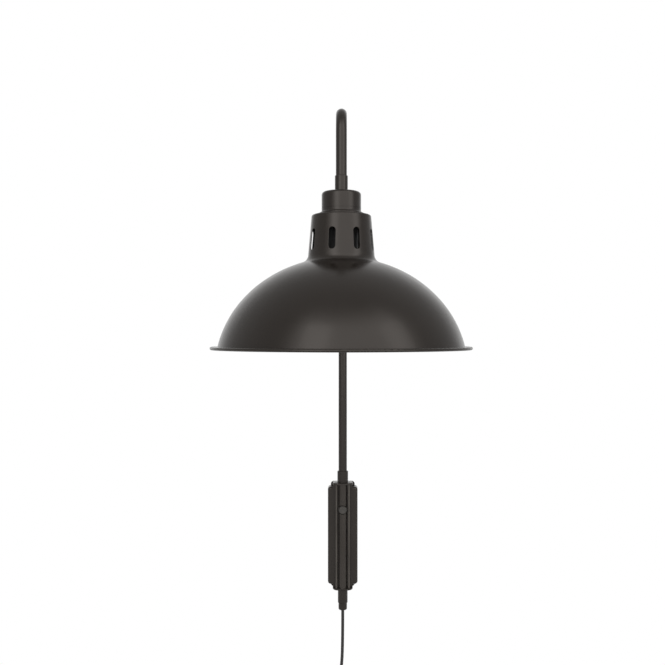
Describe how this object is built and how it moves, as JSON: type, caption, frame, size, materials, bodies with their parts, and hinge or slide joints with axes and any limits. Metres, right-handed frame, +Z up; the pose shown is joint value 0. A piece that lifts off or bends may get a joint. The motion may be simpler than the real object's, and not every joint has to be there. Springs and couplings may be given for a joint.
{
  "type": "wall lamp",
  "caption": "Pendant wall sconce: a vented metal dome shade hangs from an inverted-U tube arm that swivels in a narrow ribbed wall housing with a push switch and a flex.",
  "frame": {"origin": "centre of the wall plate's back face, on the wall", "axes": "+Z up along the housing and the arm's riser, +Y into the wall, so the lamp stands out along -Y, +X to the right seen from the room"},
  "size_m": [0.3, 0.504, 0.949],
  "materials": {
    "bronze_paint": "semi-gloss dark bronze paint",
    "rubbed_bronze": "the same paint, rubbed paler by fingers",
    "dark_steel": "blackened steel",
    "steel": "zinc plated",
    "bush_brass": "machined",
    "nylon": "moulded",
    "black_plastic": "moulded",
    "holder_plastic": "moulded, heat resistant",
    "wire_cover": "insulated single wires",
    "cord_cover": "smooth sheath",
    "seal_rubber": "moulded",
    "plug_plastic": "moulded",
    "nickel": "nickel plated",
    "opal_glass": "opal, satin"
  },
  "bodies": {
    "wall_unit": {"wall_plate": "bronze_paint", "housing": "bronze_paint", "top_cap": "bronze_paint", "bottom_cap": "bronze_paint", "cap_screws": "dark_steel", "side_screws": "dark_steel", "bearing_block": "steel", "swivel_bush": "bush_brass", "thrust_washer": "nylon", "arm_collar": "bronze_paint", "switch_body": "black_plastic", "switch_bezel": "rubbed_bronze", "switch_nut": "steel", "switch_spring": "steel", "terminal_block": "nylon", "terminal_sleeves": "bush_brass", "terminal_screws": "steel", "feed_wires": "wire_cover", "switch_wire": "wire_cover", "mains_wires": "wire_cover", "cord_clamp": "black_plastic", "clamp_screws": "steel", "cord_inlet": "cord_cover", "gland_body": "bronze_paint", "gland_locknut": "steel", "gland_nut": "bronze_paint", "gland_seal": "seal_rubber", "cord_drop": "cord_cover", "cord_coil": "cord_cover", "cord_tail": "cord_cover", "coil_tie": "black_plastic", "plug_body": "plug_plastic", "plug_pins": "nickel", "pin_sleeves": "plug_plastic"},
    "arm": {"arm_tube": "bronze_paint", "stop_pin": "steel", "arm_flex": "cord_cover", "shade_ferrule": "bronze_paint", "shade_nipple": "steel", "nipple_nut": "steel", "socket_cup": "bronze_paint", "lampholder": "holder_plastic", "screw_shell": "bush_brass", "centre_contact": "bush_brass", "shade_ring": "holder_plastic", "vented_neck": "bronze_paint", "shade_dome": "bronze_paint", "bulb_glass": "opal_glass", "bulb_cap": "nickel", "bulb_contact": "bush_brass"},
    "button": {"switch_button": "rubbed_bronze"}
  },
  "joints": [
    {"name": "arm_swivel", "type": "hinge", "parent": "wall_unit", "child": "arm", "pos_m": [0, -0.014, 0.09], "axis": [0, 0, 1], "range_deg": [-60, 60]},
    {"name": "switch_press", "type": "slide", "parent": "wall_unit", "child": "button", "axis": [0, 1, 0], "range_m": [0, 0.0025], "stiffness_N_per_m": 400, "springref_m": -0.002, "deforming": ["switch_spring"]}
  ]
}
